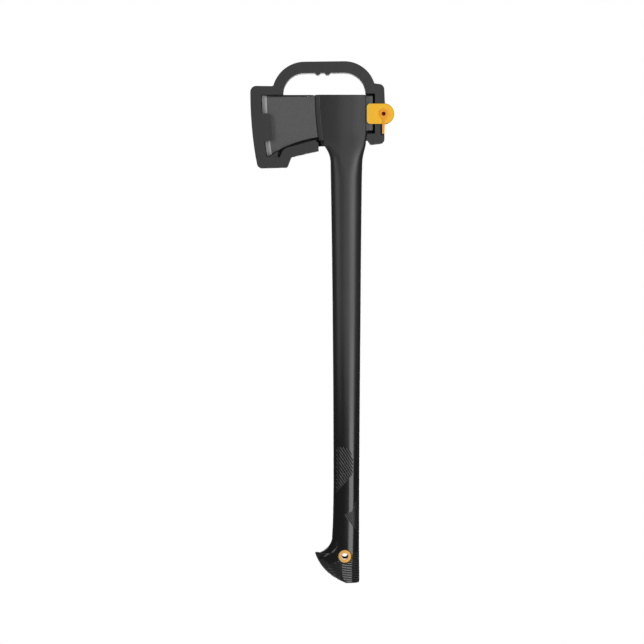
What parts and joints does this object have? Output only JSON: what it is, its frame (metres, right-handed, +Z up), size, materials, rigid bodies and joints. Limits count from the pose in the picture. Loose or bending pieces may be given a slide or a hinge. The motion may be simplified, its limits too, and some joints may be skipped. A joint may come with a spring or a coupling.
{
  "type": "axe",
  "caption": "Long-handled chopping axe with a hooked knob, held in a lockable carrying guard with a carry loop and a swivel latch over the poll.",
  "frame": {"origin": "centre of the lanyard eye in the handle's knob, at the middle of its length", "axes": "+Z up the shaft to the head, -X towards the cutting edge, +Y across the thickness to the guard's far side"},
  "size_m": [0.2091, 0.0308, 0.7599],
  "materials": {
    "forged_steel": "dark grey non-stick coating, edge ground bright",
    "handle_nylon": "satin black at the head, glossy at the grip and knob, with moulded grooves",
    "guard_plastic": "fine moulded grain, matte black",
    "latch_orange": "satin orange",
    "pin_orange": "satin orange, slightly darker",
    "eyelet_orange": "satin orange"
  },
  "bodies": {
    "axe": {"axe_head": "forged_steel", "handle_shell": "handle_nylon", "eyelet_near": "eyelet_orange", "eyelet_far": "eyelet_orange", "guard_body": "guard_plastic", "latch_pin": "pin_orange"},
    "latch": {"latch_plate": "latch_orange"}
  },
  "joints": [
    {"name": "latch_swivel", "type": "hinge", "parent": "axe", "child": "latch", "pos_m": [0.0564, -0.0134, 0.6432], "axis": [0, 1, 0], "range_deg": [0, 100]}
  ]
}
